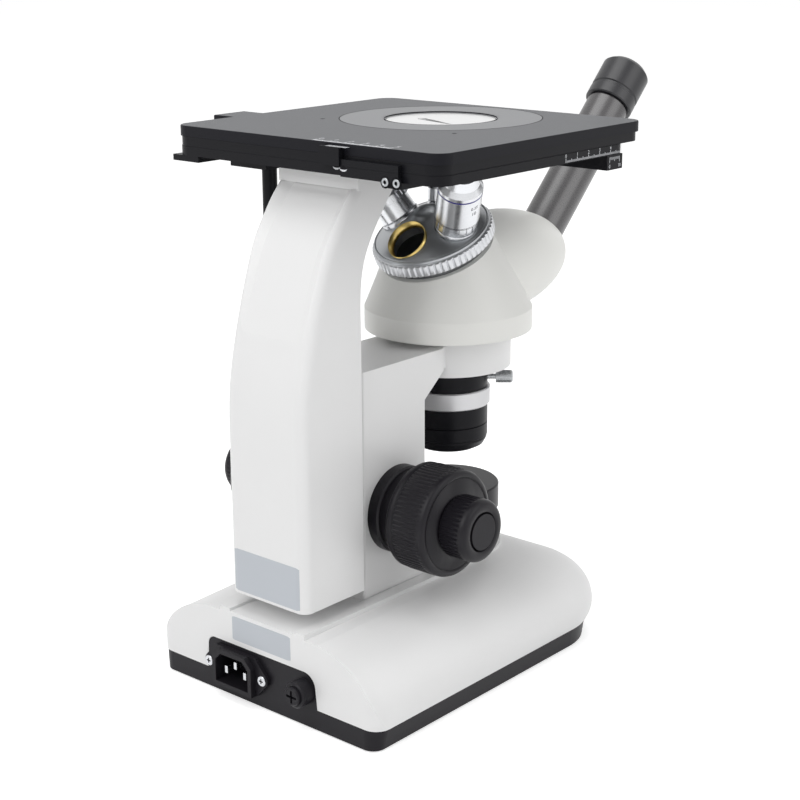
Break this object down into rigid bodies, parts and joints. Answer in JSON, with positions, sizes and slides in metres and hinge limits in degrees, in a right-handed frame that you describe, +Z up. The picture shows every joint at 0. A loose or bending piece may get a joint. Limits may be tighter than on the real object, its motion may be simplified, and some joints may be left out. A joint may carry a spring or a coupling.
{
  "type": "inverted microscope",
  "caption": "Inverted reflected-light bench microscope with an arched arm carrying a large mechanical stage over a tilted nosepiece, and a 45 degree monocular tube.",
  "frame": {"origin": "under the middle of the base, on the surface that the feet stand on", "axes": "+Z up, -Y towards the observer and the eyepiece, +X to the observer's right"},
  "size_m": [0.1987, 0.3461, 0.3186],
  "materials": {
    "white_paint": "satin",
    "head_paint": "satin",
    "black_plastic": "matte",
    "black_knob": "satin",
    "black_metal": "anodised black",
    "stage_grey": "textured dark anodised",
    "ring_grey": "satin",
    "steel": "satin",
    "silver": "satin",
    "chrome": "polished",
    "brass": "satin",
    "rubber": "matte",
    "glass": "clear",
    "copper": "varnished",
    "board": "satin",
    "ceramic": "matte"
  },
  "bodies": {
    "stand": {"base_housing": "white_paint", "base_tray": "black_plastic", "rubber_feet": "rubber", "switch_frame": "black_plastic", "power_inlet": "black_plastic", "inlet_pins": "chrome", "inlet_screws": "chrome", "fuse_holder": "black_plastic", "fuse": "glass", "transformer": "copper", "circuit_board": "board", "lamp_socket": "ceramic", "halogen_bulb": "glass", "collector_housing": "black_knob", "field_lens": "glass", "focus_block": "white_paint", "shaft_bushes": "brass", "knob_flange": "black_knob", "head_body": "head_paint", "prism_housing": "head_paint", "beam_splitter": "glass", "prism": "glass", "eyepiece_tube": "black_metal", "nosepiece_base": "steel", "iris_collar": "black_metal", "condenser_barrel": "black_metal", "condenser_lens": "glass"},
    "focus": {"arm": "white_paint", "focus_slide": "steel", "stage_carrier": "black_metal", "stage_screws": "steel"},
    "stage_y": {"stage_middle": "black_metal", "drive_case": "black_metal"},
    "stage_x": {"stage_top_plate": "stage_grey", "x_rack": "steel", "stage_insert": "ring_grey", "specimen_disc": "steel"},
    "y_knob": {"y_drive": "black_metal"},
    "x_knob": {"x_drive": "black_metal"},
    "coarse": {"coarse_shaft": "steel", "coarse_knob_left": "black_knob", "coarse_knob_right": "black_knob"},
    "fine": {"fine_shaft": "steel", "fine_knobs": "black_knob", "knob_caps": "black_plastic"},
    "tension": {"tension_collar": "black_knob"},
    "nosepiece": {"turret": "silver", "grip_ring": "silver", "seat_rings": "brass", "objective_a": "chrome", "objective_b": "chrome", "objective_c": "chrome", "front_lenses": "glass"},
    "iris": {"iris_ring": "silver"},
    "thumb": {"thumb_screw": "chrome"},
    "eyepiece": {"eyepiece": "black_metal", "eyepiece_lenses": "glass"},
    "fuse_plug": {"fuse_cap": "black_plastic"},
    "dimmer": {"dimmer_dial": "black_knob"},
    "rocker": {"switch_rocker": "black_plastic"}
  },
  "joints": [
    {"name": "focus_travel", "type": "slide", "parent": "stand", "child": "focus", "axis": [0, 0, 1], "range_m": [-0.004, 0.008]},
    {"name": "coarse_turn", "type": "hinge", "parent": "stand", "child": "coarse", "pos_m": [0, 0.021, 0.096], "axis": [1, 0, 0], "range_deg": [-39, 77]},
    {"name": "fine_turn", "type": "hinge", "parent": "stand", "child": "fine", "pos_m": [0, 0.021, 0.096], "axis": [1, 0, 0], "continuous": true},
    {"name": "tension_turn", "type": "hinge", "parent": "stand", "child": "tension", "pos_m": [0.03, 0.021, 0.096], "axis": [1, 0, 0], "range_deg": [-150, 150]},
    {"name": "stage_y_travel", "type": "slide", "parent": "focus", "child": "stage_y", "axis": [0, 1, 0], "range_m": [-0.015, 0.025]},
    {"name": "stage_x_travel", "type": "slide", "parent": "stage_y", "child": "stage_x", "axis": [1, 0, 0], "range_m": [-0.02, 0.02]},
    {"name": "y_turn", "type": "hinge", "parent": "stage_y", "child": "y_knob", "pos_m": [0.076, 0.013, 0.2], "axis": [0, 0, 1], "range_deg": [-144, 239.5]},
    {"name": "x_turn", "type": "hinge", "parent": "stage_y", "child": "x_knob", "pos_m": [0.076, 0.013, 0.18], "axis": [0, 0, 1], "range_deg": [-191.5, 191.5]},
    {"name": "nosepiece_turn", "type": "hinge", "parent": "stand", "child": "nosepiece", "pos_m": [0, -0.03504, 0.23625], "axis": [0, 0.4226, 0.9063], "continuous": true},
    {"name": "iris_turn", "type": "hinge", "parent": "stand", "child": "iris", "pos_m": [0, -0.05, 0.14], "axis": [0, 0, 1], "range_deg": [-60, 60]},
    {"name": "thumb_turn", "type": "hinge", "parent": "stand", "child": "thumb", "pos_m": [0, -0.05, 0.15], "axis": [-0.769, -0.6392, 0], "range_deg": [-90, 180]},
    {"name": "eyepiece_travel", "type": "slide", "parent": "stand", "child": "eyepiece", "axis": [0, -0.7071, 0.7071], "range_m": [0, 0.025]},
    {"name": "fuse_turn", "type": "hinge", "parent": "stand", "child": "fuse_plug", "pos_m": [-0.0306, 0.105, 0.0204], "axis": [0, 1, 0], "range_deg": [-60, 0]},
    {"name": "dimmer_turn", "type": "hinge", "parent": "stand", "child": "dimmer", "pos_m": [0.075, -0.014, 0.0215], "axis": [1, 0, 0], "range_deg": [-140, 140]},
    {"name": "rocker_tilt", "type": "hinge", "parent": "stand", "child": "rocker", "pos_m": [0.0715, 0.012, 0.0215], "axis": [0, 0, 1], "range_deg": [0, 14]}
  ],
  "couplings": [
    {"joint": "coarse_turn", "follows": "focus_travel", "rad_per_m": 166.67},
    {"joint": "y_turn", "follows": "stage_y_travel", "rad_per_m": 166.67},
    {"joint": "x_turn", "follows": "stage_x_travel", "rad_per_m": -166.67}
  ]
}
